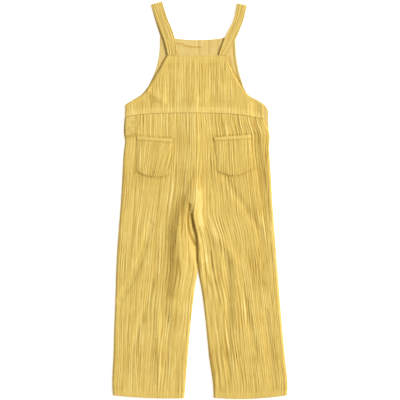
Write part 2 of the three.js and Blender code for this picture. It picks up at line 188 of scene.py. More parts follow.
# Heights of the mouth's and the foot's two ends, the foot's bow, and how far the creases lean.
LEFT_POCKET = dict(
    edges=dict(y=[131, 91, 56, 44], left=[-129, -129, -132, -132.5], right=[-56, -60, -65, -66]),
    mouth=(130, 125), foot=(57, 55), bow=9, lean=-12.0,
)
RIGHT_POCKET = dict(
    edges=dict(y=[134, 101, 75, 62, 46], left=[28, 31, 34, 32, 31.5], right=[104, 105.5, 108, 109, 109.5]),
    mouth=(128, 133), foot=(64, 64), bow=14, lean=2.0,
)
PLACKET = dict(left=-153, right=-130, drop=41)

# ---- Sizes of the fine surface ----

WALL = 1.0  # the thin shell's thickness
LOFT = 1.4  # top of the back's shell over the under side of its solid
FRONT_TOP = 1.25  # top of the front's shell over the surface
RIM_ROUND = 0.7  # radius of a cut or turned edge
RIM_SHARE = 0.12  # share of the thickness that the very edge keeps
CRINKLE = 0.46  # half the height from a crease to a ridge
LYING_DEPTH = 0.1  # half the depth of the creases on the face that it lies on
SIDE_ROUND = 4.5  # width of the slope to a side edge
STITCH = dict(pitch=3.0, length=2.2, radius=0.24, sides=6, stand=0.14, dip=0.3)
LEG_SPREAD = 150  # a leg's width as its crinkle sees it, so that the creases fan out with it

# How far lines of stitches lie from an edge.
FRONT_TOP_SEAM = 2
BACK_TOP_SEAM = 4
BIB_HEM_SEAM = 1.5  # short of the hem's own width
ARMHOLE_SEAM = 6
WAIST_SEAM = 7
LEG_HEM_SEAM = 2  # short of the hem's own width
PATCH_SEAM = 2

# How far the cloth is doubled from an edge.
WAIST_BAND = 10
ARMHOLE_BAND = 7

# Painted shade that goes with a shape.
COVER_RING = 5  # width of the painted shade round what is sewn on a leg
COVER_EASE = 2
RING_SHADE = 1.5
MOUTH_LINE_SHADE = 1.4
PLACKET_LINE_SHADE = 1.2
POCKET_SHADE = 0.2
RIGHT_LEG_SHADE = 0.18


# ---- Numbers ----

def smooth(t):
    t = np.clip(t, 0.0, 1.0)
    return t * t * (3 - 2 * t)


def bow(t):
    return 4 * t * (1 - t)


def edge(table, column):
    """X of an edge for each height Y, on a smooth curve through the table's rows."""
    ys = np.array(table["y"][::-1], float)
    values = np.array(table[column][::-1], float)
    slopes = np.gradient(values, ys)

    def at(y):
        y = np.clip(np.asarray(y, float), ys[0], ys[-1])
        i = np.clip(np.searchsorted(ys, y, "right") - 1, 0, len(ys) - 2)
        span = ys[i + 1] - ys[i]
        t = (y - ys[i]) / span
        a, b = values[i], values[i + 1]
        start, end = slopes[i] * span, slopes[i + 1] * span
        return a + t * (start + t * (3 * (b - a) - 2 * start - end + t * (start + end - 2 * (b - a))))

    return at


def noise(x, y, seed):
    """Gradient noise of about -0.7 to 0.7 with a cell size of 1."""
    size = 128
    angle = np.random.default_rng(seed).uniform(0, 2 * math.pi, (size, size))
    gx, gy = np.cos(angle), np.sin(angle)
    x0, y0 = np.floor(x).astype(int), np.floor(y).astype(int)
    fx, fy = x - x0, y - y0

    def corner(i, j):
        a, b = (x0 + i) % size, (y0 + j) % size
        return gx[a, b] * (fx - i) + gy[a, b] * (fy - j)

    sx = fx * fx * fx * (fx * (fx * 6 - 15) + 10)
    sy = fy * fy * fy * (fy * (fy * 6 - 15) + 10)
    low = corner(0, 0) + sx * (corner(1, 0) - corner(0, 0))
    high = corner(0, 1) + sx * (corner(1, 1) - corner(0, 1))
    return low + sy * (high - low)


def crinkle(across, along, seed, pitch=4.0, run=190, change=0.9):
    """Lengthwise crepe from -1 in a crease to 1 on a ridge. The creases wander, meet and part."""
    across = across + 2.4 * noise(across / 18, along / 85, seed) + 500
    along = along + 900
    wide = 1 - np.exp(-np.abs(noise(across / pitch, along / run, seed + 1)) / 0.22)
    fine = 1 - np.exp(-np.abs(noise(across / pitch * 1.5, along / run * 2.6, seed + 2)) / 0.22)
    even = np.cos(2 * math.pi * (across / pitch / 1.35 + 0.9 * noise(across / 14, along / 75, seed + 4)))
    strength = 1 + change * noise(across / 26, along / 90, seed + 3)
    return (1.4 * wide + 1.0 * fine - 1.45 + 0.42 * even) * strength


def folds_height(folds, x, y):
    total = np.zeros(np.shape(x))
    for height, left_reach, right_reach, route in folds:
        nearest = np.full(np.shape(x), np.inf)
        reach = np.full(np.shape(x), float(left_reach))
        for (from_x, from_y), (to_x, to_y) in zip(route, route[1:]):
            run_x, run_y = to_x - from_x, to_y - from_y
            t = np.clip(((x - from_x) * run_x + (y - from_y) * run_y) / (run_x ** 2 + run_y ** 2), 0, 1)
            off_x, off_y = x - from_x - t * run_x, y - from_y - t * run_y
            distance2 = off_x ** 2 + off_y ** 2
            is_right = run_x * off_y - run_y * off_x > 0
            closer = distance2 < nearest
            reach = np.where(closer, np.where(is_right, right_reach, left_reach), reach)
            nearest = np.minimum(nearest, distance2)
        total = total + height * np.exp(-nearest / reach ** 2)
    return total


def groove(distance, depth=0.55, width=0.9):
    """A line of stitches pulls the cloth down."""
    return -depth * np.exp(-(distance / width) ** 2)


# ---- Lines of the pattern ----

def waist_line(x):
    aside = np.asarray(x, float) - WAIST_PEAK_X
    left = WAIST_LEFT[1] * np.abs(aside / WAIST_LEFT[0]) ** 3
    right = WAIST_RIGHT[1] * np.abs(aside / WAIST_RIGHT[0]) ** 3
    return WAIST_TOP - np.where(aside < 0, left, right)


def front_bib_line(x):
    left, right = FRONT_BIB_EDGES["left"][0], FRONT_BIB_EDGES["right"][0]
    return FRONT_BIB_CORNER - FRONT_BIB_SAG * bow((x - left) / (right - left))


def hem_line(hem, edges):
    outer, inner = edges["outer"][-1], edges["inner"][-1]

    def at(x):
        t = (x - outer) / (inner - outer)
        return hem["outer"] + (hem["inner"] - hem["outer"]) * t - hem["sag"] * bow(t)

    return at


left_hem_line = hem_line(LEFT_HEM, LEFT_LEG_EDGES)
right_hem_line = hem_line(RIGHT_HEM, RIGHT_LEG_EDGES)


class Panel:
    """A flat piece between left(y) and right(y), from top(x) down to bottom(x)."""

    def __init__(self, left, right, top, bottom):
        self.left, self.right, self.top, self.bottom = left, right, top, bottom
        middle = (float(left(0)) + float(right(0))) / 2
        self.length = float(top(middle) - bottom(middle))
        half = float(top(middle) + bottom(middle)) / 2
        self.width = float(right(half) - left(half))

    def u(self, x, y):
        return (x - self.left(y)) / (self.right(y) - self.left(y))

    def from_top(self, x, y):
        return self.top(x) - y

    def from_bottom(self, x, y):
        return y - self.bottom(x)

    def from_side(self, side, x, y):
        """Distance square to the left or right edge."""
        line = self.left if side < 0 else self.right
        slope = (line(y + 1) - line(y - 1)) / 2
        return np.abs(x - line(y)) / np.sqrt(1 + slope ** 2)

    def from_rim(self, x, y):
        across = np.minimum(self.from_side(-1, x, y), self.from_side(1, x, y))
        return np.minimum(across, np.minimum(self.from_top(x, y), self.from_bottom(x, y)))

    def line_across(self, inset, margin, from_bottom=False):
        """Points along the top or bottom edge, inset from it, with a margin at both ends."""
        y = self.top(0) if not from_bottom else self.bottom(0)
        x = np.linspace(float(self.left(y)) + margin, float(self.right(y)) - margin, 300)
        return x, (self.bottom(x) + inset if from_bottom else self.top(x) - inset)

    def line_along(self, side, inset, start, end):
        """Points down a side edge, inset from it, from height start down to height end."""
        line = self.left if side < 0 else self.right
        y = np.linspace(start, end, 300)
        slope = (line(y + 1) - line(y - 1)) / 2
        return line(y) - side * inset * np.sqrt(1 + slope ** 2), y

    def hoop(self, inset):
        """Lines down both sides and along the bottom."""
        start = float(self.top(self.left(0))) - inset
        ends = [float(self.bottom(line(0))) + 2 * inset for line in (self.left, self.right)]
        return [self.line_along(-1, inset, start, ends[0]), self.line_along(1, inset, start, ends[1]),
                self.line_across(inset, inset, from_bottom=True)]

    def grid(self, step_across, step_along):
        u, v = np.meshgrid(spaced(self.width, step_across), spaced(self.length, step_along))
        x = self.left(0) + (self.right(0) - self.left(0)) * u
        for _ in range(8):
            y = self.top(x) + (self.bottom(x) - self.top(x)) * v
            x = self.left(y) + (self.right(y) - self.left(y)) * u
        return x, y


def spaced(length, step):
    """Shares of a length at about the step, with close ones at both ends for the round rim."""
    close = np.array([0, 0.12, 0.35, 0.8]) / length
    count = max(int(round(length / step)), 2)
    middle = np.linspace(1.5 / length, 1 - 1.5 / length, count)
    return np.concatenate([close, middle, 1 - close[::-1]])


# ---- Pieces ----

def add_object(name, data):
    thing = bpy.data.objects.new(name, data)
    bpy.context.scene.collection.objects.link(thing)
    return thing


def rim_share(distance):
    """Share of the thickness at a distance from the rim, which rounds it off."""
    t = np.clip(distance / RIM_ROUND, 0, 1)
    return RIM_SHARE + (1 - RIM_SHARE) * np.sqrt(1 - (1 - t) ** 2)


def make_mesh(name, over, under, relief_shade):
    """Closed shell between two grids of points in millimetres."""
    rows, columns = over.shape[:2]
    index = np.arange(rows * columns).reshape(rows, columns)
    a, b, c, d = index[:-1, :-1], index[1:, :-1], index[1:, 1:], index[:-1, 1:]
    top = np.stack([a, b, c, d], -1).reshape(-1, 4)
    count = rows * columns
    faces = [top, top[:, ::-1] + count]
    rim = np.concatenate([index[:-1, 0], index[-1, :-1], index[:0:-1, -1], index[0, :0:-1]])
    following = np.roll(rim, -1)
    faces.append(np.stack([rim + count, following + count, following, rim], -1))
    vertices = np.concatenate([over.reshape(-1, 3), under.reshape(-1, 3)]) * MM
    mesh = bpy.data.meshes.new(name)
    mesh.from_pydata(vertices.tolist(), [], np.concatenate(faces).tolist())
    # The relief attribute carries painted shade for creases and hollows and painted highlight for ridges,
    # for the colour ramp.
    mesh.attributes.new("relief_shade", "FLOAT", "POINT").data.foreach_set(
        "value", np.tile(relief_shade.reshape(-1), 2).astype(np.float32))
    mesh.shade_smooth()
    return add_object(name, mesh)


def shell(name, panel, height, steps, floor):
    """A thin shell whose upper face is at height(x, y), with a round rim."""
    x, y = panel.grid(*steps)
    top, relief_shade = height(x, y)
    bottom = top - WALL if floor is None else floor(x, y)
    middle, half = (top + bottom) / 2, (top - bottom) / 2 * rim_share(panel.from_rim(x, y))
    over = np.stack([x, y, middle + half], -1)
    under = np.stack([x, y, middle - half], -1)
    return make_mesh(name, over, under, relief_shade)


def dress(piece, node, material):
    piece.data.materials.append(material)
    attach(piece, "root")
    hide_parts(node)


def stitches(name, rows):
    """One mesh of all the stitches in rows of points with the cloth's normals, all in millimetres."""
    length, radius = STITCH["length"], STITCH["radius"]
    along = np.array([-0.5, -0.36, -0.14, 0.14, 0.36, 0.5])
    swell = np.array([0.25, 0.8, 1, 1, 0.8, 0.25])
    turn = np.arange(STITCH["sides"]) * 2 * math.pi / STITCH["sides"]
    parts, faces, first = [], [], 0
    rings, sides = len(along), len(turn)
    ring_faces = [(r * sides + k, r * sides + (k + 1) % sides, (r + 1) * sides + (k + 1) % sides,
                   (r + 1) * sides + k) for r in range(rings - 1) for k in range(sides)]
    ring_faces += [tuple(range(sides))[::-1], tuple(range((rings - 1) * sides, rings * sides))]
    for points, normals in rows:
        run = np.concatenate([[0], np.cumsum(np.linalg.norm(np.diff(points, axis=0), axis=1))])
        count = int(run[-1] / STITCH["pitch"])
        for place in (np.arange(count) + 0.5) * run[-1] / count:
            at, before, after = (
                np.array([np.interp(place + step * length, run, points[:, axis]) for axis in range(3)])
                for step in (0, -0.5, 0.5))
            up = np.array([np.interp(place, run, normals[:, axis]) for axis in range(3)])
            forward = (after - before) / np.linalg.norm(after - before)
            aside = np.cross(up, forward)
            aside /= np.linalg.norm(aside)
            up = np.cross(forward, aside)
            centre = at + up * (STITCH["stand"] - 4 * STITCH["dip"] * along[:, None] ** 2)
            centre = centre + forward * (along * length)[:, None]
            ring = aside * np.cos(turn)[:, None] + up * np.sin(turn)[:, None]
            parts.append((centre[:, None, :] + ring[None] * (radius * swell)[:, None, None]).reshape(-1, 3))
            faces += [tuple(index + first for index in face) for face in ring_faces]
            first += rings * sides
    points = np.concatenate(parts)
    points[:, 2] = np.maximum(points[:, 2], 0)
    mesh = bpy.data.meshes.new(name)
    mesh.from_pydata((points * MM).tolist(), [], faces)
    mesh.shade_smooth()
    piece = add_object(name, mesh)
    mesh.materials.append(THREAD)
    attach(piece, "root")
    return piece


def on_cloth(height, line):
    """A row of points on a height field, with normals straight up."""
    x, y = line
    z = height(x, y)[0]
    return np.stack([x, y, z], -1), np.tile([0.0, 0.0, 1.0], (len(x), 1))


# ---- Materials ----

# Shares of the colour's range that each takes up; the relief's share is painted shade and highlight.
RELIEF_SHADE_SHARE = 0.22
MOTTLE_SHARE = 0.2
SLUB_SHARE = 0.35


def cloth_material(name, crease_shade, body, ridge_highlight):
    """Crinkled cotton: painted shade deepens the colour in the creases and painted highlight pales it on the
    ridges, after the relief attribute, with slow mottling, slubs and a plain weave.
    """
    material = bpy.data.materials.new(name)
    material.use_nodes = True
    nodes, links = material.node_tree.nodes, material.node_tree.links
    shader = nodes["Principled BSDF"]
    shader.inputs["Roughness"].default_value = 0.88
    shader.inputs["Specular IOR Level"].default_value = 0.25
    shader.inputs["Sheen Weight"].default_value = 0.25
    shader.inputs["Sheen Roughness"].default_value = 0.5
    shader.inputs["Sheen Tint"].default_value = (1.0, 0.9, 0.62, 1)

    place = nodes.new("ShaderNodeTexCoord")
    relief_shade = nodes.new("ShaderNodeAttribute")
    relief_shade.attribute_name = "relief_shade"
    mottle = nodes.new("ShaderNodeTexNoise")
    mottle.inputs["Scale"].default_value = 38
    mottle.inputs["Detail"].default_value = 5
    links.new(place.outputs["Object"], mottle.inputs["Vector"])
    slub_place = nodes.new("ShaderNodeMapping")
    slub_place.inputs["Scale"].default_value = (900, 60, 900)
    links.new(place.outputs["Object"], slub_place.inputs["Vector"])
    slub = nodes.new("ShaderNodeTexNoise")
    slub.inputs["Scale"].default_value = 1
    slub.inputs["Detail"].default_value = 2
    links.new(slub_place.outputs["Vector"], slub.inputs["Vector"])

    def maths(operation, first, second):
        node = nodes.new("ShaderNodeMath")
        node.operation = operation
        for socket, value in zip(node.inputs, (first, second)):
            if isinstance(value, (int, float)):
                socket.default_value = value
            else:
                links.new(value, socket)
        return node.outputs["Value"]

    mottled = maths("MULTIPLY", maths("SUBTRACT", mottle.outputs["Fac"], 0.5), MOTTLE_SHARE)
    slubbed = maths("MULTIPLY", maths("SUBTRACT", slub.outputs["Fac"], 0.5), SLUB_SHARE)
    relief_shading = maths("MULTIPLY", relief_shade.outputs["Fac"], RELIEF_SHADE_SHARE)
    shade = maths("ADD", maths("ADD", relief_shading, 0.5), maths("ADD", mottled, slubbed))
    # The ramp runs from the first colour, a crease's painted shade, through the body, to the last, a ridge's
    # painted highlight.
    ramp = nodes.new("ShaderNodeValToRGB")
    ramp.color_ramp.elements[0].color = (*crease_shade, 1)
    ramp.color_ramp.elements[0].position = 0.05
    ramp.color_ramp.elements[1].color = (*ridge_highlight, 1)
    ramp.color_ramp.elements[1].position = 0.95
    ramp.color_ramp.elements.new(0.5).color = (*body, 1)
    links.new(shade, ramp.inputs["Fac"])
    links.new(ramp.outputs["Color"], shader.inputs["Base Color"])

    weave = []
    for axis in ("X", "Y"):
        wave = nodes.new("ShaderNodeTexWave")
        wave.bands_direction = axis
        wave.inputs["Scale"].default_value = 330
        wave.inputs["Distortion"].default_value = 0.6
        wave.inputs["Detail"].default_value = 1
        links.new(place.outputs["Object"], wave.inputs["Vector"])
        weave.append(wave.outputs["Fac"])
    threads = maths("MAXIMUM", *weave)
    bump = nodes.new("ShaderNodeBump")
    bump.inputs["Strength"].default_value = 0.35
    bump.inputs["Distance"].default_value = 0.0003
    links.new(maths("ADD", threads, slub.outputs["Fac"]), bump.inputs["Height"])
    links.new(bump.outputs["Normal"], shader.inputs["Normal"])
    return material


# Each cloth's first colour is painted shade for its creases, and its last is painted highlight for its
# ridges.
OUTSIDE = cloth_material(
    "crinkled_cotton_outside", (0.39, 0.235, 0.035), (0.665, 0.478, 0.122), (0.88, 0.73, 0.33))
INSIDE = cloth_material(
    "crinkled_cotton_inside", (0.52, 0.31, 0.055), (0.65, 0.48, 0.165), (0.77, 0.615, 0.27))
FLAT = cloth_material("pressed_cotton", (0.40, 0.24, 0.045), (0.64, 0.46, 0.125), (0.85, 0.675, 0.25))
THREAD = cloth_material("cotton_thread", (0.55, 0.37, 0.09), (0.74, 0.54, 0.17), (0.88, 0.71, 0.29))


# ---- Front: the under layer ----

def lying_face(x, y):
    """The front's outer face: its ridges lie on the surface."""
    return LYING_DEPTH * (1 - np.clip(crinkle(x, y, 23), -1, 1))


front_bib_panel = Panel(edge(FRONT_BIB_EDGES, "left"), edge(FRONT_BIB_EDGES, "right"), front_bib_line,
                        lambda x: waist_line(x) - FRONT_WAIST_DROP + SEAM / 2)


def front_bib_height(x, y):
    p = front_bib_panel
    from_top = p.from_top(x, y)
    band = 1 - smooth((from_top - BIB_HEM) / 2)
    creases = crinkle(x, y, 11)
    amount = 0.05 + 0.08 * (1 - band)
    top = FRONT_TOP + amount * creases + 0.55 * band + folds_height(FRONT_FOLDS, x, y)
    for d in (from_top - FRONT_TOP_SEAM, from_top - BIB_HEM + BIB_HEM_SEAM):
        top = top + groove(d, 0.3)
    for side in (-1, 1):
        top = top + groove(p.from_side(side, x, y) - ARMHOLE_SEAM, 0.3)
    # The colour gets painted shade in the creases and the folds' troughs, painted highlight on their ridges,
    # and the painted shade and shadows listed above.
    relief_shade = 0.25 * creases + 1.8 * folds_height(FRONT_FOLDS, x, y)
    return top, relief_shade + folds_height(FRONT_PAINTED_SHADE, x, y)


def leg_panel(edges, left, right, drop, hem):
    """A leg from the waist seam, or a drop under it, to the hem."""
    return Panel(edge(edges, left), edge(edges, right), lambda x: waist_line(x) - drop - SEAM / 2, hem)


def front_leg_height(panel, seed):
    def height(x, y):
        creases = crinkle(panel.u(x, y) * LEG_SPREAD, y, seed)
        band = 1 - smooth((panel.from_bottom(x, y) - LEG_HEM) / 2)
        # The creases also give the colour its painted shade and highlight.
        return FRONT_TOP + 0.22 * creases * (1 - 0.6 * band) + 0.7 * band, creases

    return height


front_left_panel = leg_panel(LEFT_FRONT_EDGES, "outer", "inner", FRONT_WAIST_DROP, left_hem_line)
front_right_panel = leg_panel(RIGHT_FRONT_EDGES, "inner", "outer", FRONT_WAIST_DROP, right_hem_line)


# ---- Back: the upper layer ----

def side_rise(distance):
    return smooth(distance / SIDE_ROUND)


back_bib_panel = Panel(edge(BACK_BIB_EDGES, "left"), edge(BACK_BIB_EDGES, "right"),
                       lambda x: BACK_BIB_TOP + 0 * x, lambda x: waist_line(x) + SEAM / 2)


def back_bib_height(x, y):
    p = back_bib_panel
    from_top, from_waist = p.from_top(x, y), p.from_bottom(x, y)
    loose = smooth((BACK_BIB_TOP - y) / HEM_EASE)
    side = np.minimum(p.from_side(-1, x, y), p.from_side(1, x, y))
    base = CLOTH + SEAM + side_rise(side) * loose * np.maximum(PUFF + folds_height(FOLDS, x, y), 0)
    base = base + (1 - loose) * PUFF / 2
    creases = crinkle(x, y, 33, 3.7, 130, 0.5)
    band = 1 - smooth((from_top - BIB_HEM) / 2)
    waist = 1 - smooth((from_waist - WAIST_BAND) / 2)
    turned = 1 - smooth((side - ARMHOLE_BAND) / 2)
    calm = np.clip(1 - 0.35 * band - 0.4 * waist - 0.5 * turned, 0.25, 1)
    depth = 0.8 * CRINKLE * (0.7 + 0.3 * smooth((275 - y) / 50))
    top = base + LOFT + depth * creases * calm + 0.3 * np.maximum(np.maximum(0.5 * band, waist), turned)
    for d in (from_top - BACK_TOP_SEAM, from_waist - WAIST_SEAM, side - ARMHOLE_SEAM):
        top = top + groove(d)
    right_rim_shade = np.exp(-(p.from_side(1, x, y) / 2.2) ** 2)  # painted shade on the right rim, where the key light falls
    # The colour gets painted shade in the creases, painted highlight on their ridges and on the raised waist
    # band, and painted shade on the right rim.
    return top, creases * calm + 0.3 * waist - right_rim_shade


left_leg_panel = leg_panel(LEFT_LEG_EDGES, "outer", "inner", 0, left_hem_line)
right_leg_panel = leg_panel(RIGHT_LEG_EDGES, "inner", "outer", 0, right_hem_line)
RIGHT_LIFT = edge(RIGHT_LEG_EDGES, "lift")
CROTCH = -8  # height where the back's two legs part
CROTCH_EASE = 45
TUCK = 15  # width of the left leg's slope under the roll
TUCK_END = -150
# How far a leg's creases lean out from the centre seam at mid-width, the height where they start to,
# and the length over which they do.
LEFT_FAN = (16, 90, 230)
RIGHT_FAN = (28, 175, 330)


def leg_base(panel, inner_side, inner_round, x, y):
    """Under side of a back leg's cloth. Above the crotch it stays loose across the centre seam."""
    outer, inner = panel.from_side(-inner_side, x, y), panel.from_side(inner_side, x, y)
    joined = smooth((y - CROTCH) / CROTCH_EASE + 1)
    rise = HEM_RISE * (1 - smooth((panel.from_bottom(x, y) - LEG_HEM - 1.5) / HEM_EASE))
    loose = np.maximum(PUFF + folds_height(FOLDS, x, y), 0)
    return CLOTH + SEAM + rise + side_rise(outer) * np.maximum(smooth(inner / inner_round), joined) * loose


def left_leg_base(x, y):
    """The left leg's inner edge is tucked under the roll, down to where the legs part."""
    tucked = smooth((y - TUCK_END) / CROTCH_EASE)
    return leg_base(left_leg_panel, 1, SIDE_ROUND + (TUCK - SIDE_ROUND) * tucked, x, y)


def right_leg_base(x, y):
    """The right leg's inner edge is rolled up over the left one from the crotch down."""
    inner = right_leg_panel.from_side(-1, x, y)
    lift = np.maximum(RIGHT_LIFT(y), 0)
    roll = lift * (1 - smooth(inner / INNER_EASE)) - 0.35 * lift * (1 - smooth(inner / 3))
    return leg_base(right_leg_panel, -1, SIDE_ROUND, x, y) + roll


def pocket_panel(pocket):
    left, right = edge(pocket["edges"], "left"), edge(pocket["edges"], "right")
    start, end = pocket["edges"]["left"][0], pocket["edges"]["right"][0]

    def across(x):
        return (x - start) / (end - start)

    def mouth(x):
        return pocket["mouth"][0] + across(x) * (pocket["mouth"][1] - pocket["mouth"][0])

    def foot(x):
        sag = pocket["bow"] * np.maximum(bow(across(x)), 0)
        return pocket["foot"][0] + across(x) * (pocket["foot"][1] - pocket["foot"][0]) - sag

    return Panel(left, right, mouth, foot)


left_pocket_panel = pocket_panel(LEFT_POCKET)
right_pocket_panel = pocket_panel(RIGHT_POCKET)
placket_panel = Panel(lambda y: PLACKET["left"] + 0 * y, lambda y: PLACKET["right"] + 0 * y,
                      lambda x: waist_line(x) - 1, lambda x: waist_line(x) - PLACKET["drop"])


def inside(panel, x, y, ease):
    """1 inside a panel's outline, falling to 0 over the ease outside it."""
    out = np.maximum(np.maximum(panel.left(y) - x, x - panel.right(y)),
                     np.maximum(y - panel.top(x), panel.bottom(x) - y))
    return 1 - smooth(out / ease)


def leg_across(panel, inner_side, x, y):
    """Place across a leg, for creases that lean out from the centre seam on their way down."""
    u = panel.u(x, y)
    reach, start, length = LEFT_FAN if inner_side > 0 else RIGHT_FAN
    return u * LEG_SPREAD + inner_side * reach * bow(np.clip(u, 0, 1)) * smooth((start - y) / length)


def back_leg_height(panel, base, covers, inner_side, depth, seed, shade=0.0):
    def height(x, y):
        creases = crinkle(leg_across(panel, inner_side, x, y), y, seed)
        from_waist, from_hem = panel.from_top(x, y), panel.from_bottom(x, y)
        band = 1 - smooth((from_hem - LEG_HEM) / 2)
        joined = smooth((y - CROTCH) / CROTCH_EASE + 1)
        side = np.minimum(panel.from_side(-inner_side, x, y), panel.from_side(inner_side, x, y) + 5 * joined)
        calm = np.clip(1 - 0.55 * band - 0.4 * (1 - smooth(side / 5)), 0.25, 1)
        calm = calm * (1 - np.clip(folds_height(SMOOTH, x, y), 0, 0.8))
        under = sum(inside(cover, x, y, COVER_EASE) for cover in covers)
        around = sum(inside(cover, x, y, COVER_RING) for cover in covers)
        deep = depth * (1 + 0.25 * smooth((y - 20) / 100))
        top = base(x, y) + LOFT + deep * creases * calm * (1 - 0.8 * under) - 0.5 * under
        top = top + 0.4 * band - 0.5 * (1 - smooth(side / 3))
        top = top + groove(from_hem - LEG_HEM + LEG_HEM_SEAM) + groove(from_waist, 0.7, 1.2)
        # The colour gets painted shade in the creases and painted highlight on their ridges, the painted
        # shade and highlight listed above, painted shade round what is sewn on, and an even painted shade.
        return top, creases * calm + folds_height(PAINTED_SHADE_AND_HIGHLIGHT, x, y) - RING_SHADE * (around - under) - shade

    return height


left_leg_height = back_leg_height(
    left_leg_panel, left_leg_base, (left_pocket_panel, placket_panel), 1, 0.6 * CRINKLE, 41)
right_leg_height = back_leg_height(
    right_leg_panel, right_leg_base, (right_pocket_panel,), -1, 0.95 * CRINKLE, 53, RIGHT_LEG_SHADE)


def pocket_height(panel, leg_base_at, lean, seed):
    def height(x, y):
        from_mouth = panel.from_top(x, y)
        band = 1 - smooth((from_mouth - POCKET_HEM) / 1.5)
        creases = crinkle(x + lean * panel.u(x, y) * (y - 90) / 30, y, seed)
        calm = 1 - 0.7 * band
        side = np.minimum(panel.from_rim(x, y), 6)
        top = leg_base_at(x, y) + LOFT + 0.75 + POCKET_STAND * bow(np.clip(panel.u(x, y), 0, 1))
        # Where painted shade darkens the line under the hem.
        sewn = np.exp(-((from_mouth - POCKET_HEM + 0.5) / 1.3) ** 2)
        top = top + 0.8 * CRINKLE * creases * calm + 0.35 * band
        top = top + 0.3 * np.exp(-((panel.from_side(1, x, y) - 4) / 2.5) ** 2)
        top = top - 0.6 * (1 - smooth(side / 3)) * (1 - band)
        top = top + groove(from_mouth - POCKET_HEM + 0.5, 0.7, 1.1)
        for gap in (panel.from_side(-1, x, y), panel.from_side(1, x, y), panel.from_bottom(x, y)):
            top = top + groove(gap - PATCH_SEAM, 0.35, 0.7)
        # The colour gets painted shade in the creases and under the hem, painted highlight on the hem band,
        # and an even painted shade.
        return top, creases * calm + 0.3 * band - MOUTH_LINE_SHADE * sewn - POCKET_SHADE

    return height


def placket_height(x, y):
    creases = noise(x / 9, y / 6, 71)
    top = left_leg_base(x, y) + LOFT + 0.9 + 0.35 * creases
    lines = 0
    for gap in (placket_panel.from_side(1, x, y), placket_panel.from_bottom(x, y)):
        top = top + groove(gap - PATCH_SEAM, 0.35, 0.7)
        lines = lines + np.exp(-((gap - PATCH_SEAM) / 1.4) ** 2)
    # The colour gets painted shade along the stitch lines, and painted shade and highlight from the creases.
    return top, creases - PLACKET_LINE_SHADE * lines


# ---- Build ----


def build_panel(name, panel, height, steps, node, material, floor=None, lines=()):
    piece = shell(name, panel, height, steps, floor)
    sewn = [stitches(f"{node}_stitches", [on_cloth(height, line) for line in lines])] if lines else []
    x, y = panel.grid(4, 4)
    dress(piece, node, material)


build_panel(
    "front_bib_cloth", front_bib_panel, front_bib_height, (1.5, 2.0), "front_bib", INSIDE,
    lying_face, lines=[
        front_bib_panel.line_across(FRONT_TOP_SEAM, 9),
        front_bib_panel.line_across(BIB_HEM - BIB_HEM_SEAM, 9),
        front_bib_panel.line_along(-1, ARMHOLE_SEAM, 322, 208),
        front_bib_panel.line_along(1, ARMHOLE_SEAM, 322, 200)])
for side, panel, seed in (("left", front_left_panel, 17), ("right", front_right_panel, 19)):
    build_panel(f"front_leg_{side}_cloth", panel, front_leg_height(panel, seed), (1.6, 4.0),
                f"front_leg_{side}", INSIDE, lying_face)
build_panel(
    "back_bib_cloth", back_bib_panel, back_bib_height, (0.8, 2.2), "back_bib", OUTSIDE,
    lines=[
        back_bib_panel.line_across(BACK_TOP_SEAM, 4),
        back_bib_panel.line_across(BIB_HEM - BIB_HEM_SEAM, 6),
        back_bib_panel.line_along(-1, ARMHOLE_SEAM, 292, 206),
        back_bib_panel.line_along(1, ARMHOLE_SEAM, 292, 202),
        back_bib_panel.line_across(WAIST_SEAM, 4, from_bottom=True)])
for side, panel, height in (("left", left_leg_panel, left_leg_height),
                            ("right", right_leg_panel, right_leg_height)):
    build_panel(f"back_leg_{side}_cloth", panel, height, (0.95, 2.8), f"back_leg_{side}",
                OUTSIDE,
                lines=[panel.line_across(LEG_HEM - LEG_HEM_SEAM, 3, from_bottom=True)])
for side, panel, base, pocket, seed in (
        ("left", left_pocket_panel, left_leg_base, LEFT_POCKET, 61),
        ("right", right_pocket_panel, right_leg_base, RIGHT_POCKET, 67)):
    build_panel(f"pocket_{side}_cloth", panel, pocket_height(panel, base, pocket["lean"], seed), (0.9, 1.2),
                f"pocket_{side}", OUTSIDE,
                lines=panel.hoop(PATCH_SEAM) + [panel.line_across(POCKET_HEM - 1, PATCH_SEAM)])
build_panel("placket_left_cloth", placket_panel, placket_height, (0.8, 0.8), "placket_left",
            FLAT,
            lines=[placket_panel.line_along(1, PATCH_SEAM, 168, 140),
                   placket_panel.line_across(PATCH_SEAM, PATCH_SEAM, from_bottom=True)])


# ---- Straps ----

# leftX, leftY, rightX, rightY, base: edges of the rising half, from the front bib up, and of the
# falling half, down to the back bib.
STRAPS = dict(
    left=(
        [(-82, 337.3, -61.5, 333.2, 0), (-90.5, 364, -69, 367, 0), (-100.5, 399, -77.5, 405.4, 0)],
        [(-100, 399, -77, 405.2, 1.9), (-90, 370, -67, 373, 3.0), (-79.5, 343, -55.5, 345, 3.1),
         (-71, 319, -49, 319, 2.9), (-66, 296.3, -46, 296.3, 2.6)],
    ),
    right=(
        [(54, 333.4, 73, 337.3, 0), (68.5, 368, 87.5, 365, 0), (75.5, 402, 96, 397, 0)],
        [(75.5, 402, 96, 397, 1.9), (69, 369, 88, 365, 3.0), (54.5, 340, 76, 335, 3.3),
         (46, 319, 66.5, 317, 2.9), (38.5, 296.3, 55, 296.3, 2.6)],
    ),
)
STRAP_WALL = 1.5
STRAP_WIDTH = 20  # as the crinkle and the rim see it; the edges above give the true one
STRAP_SEAM = 2.2
STRAP_CREASE = 0.42
STRAP_COLUMNS = 30
RISING_ROWS = 62
FALLING_ROWS = 95
TURN_STEPS = 14
HIDDEN_ROWS = 2  # rows of the turn that carry no stitches


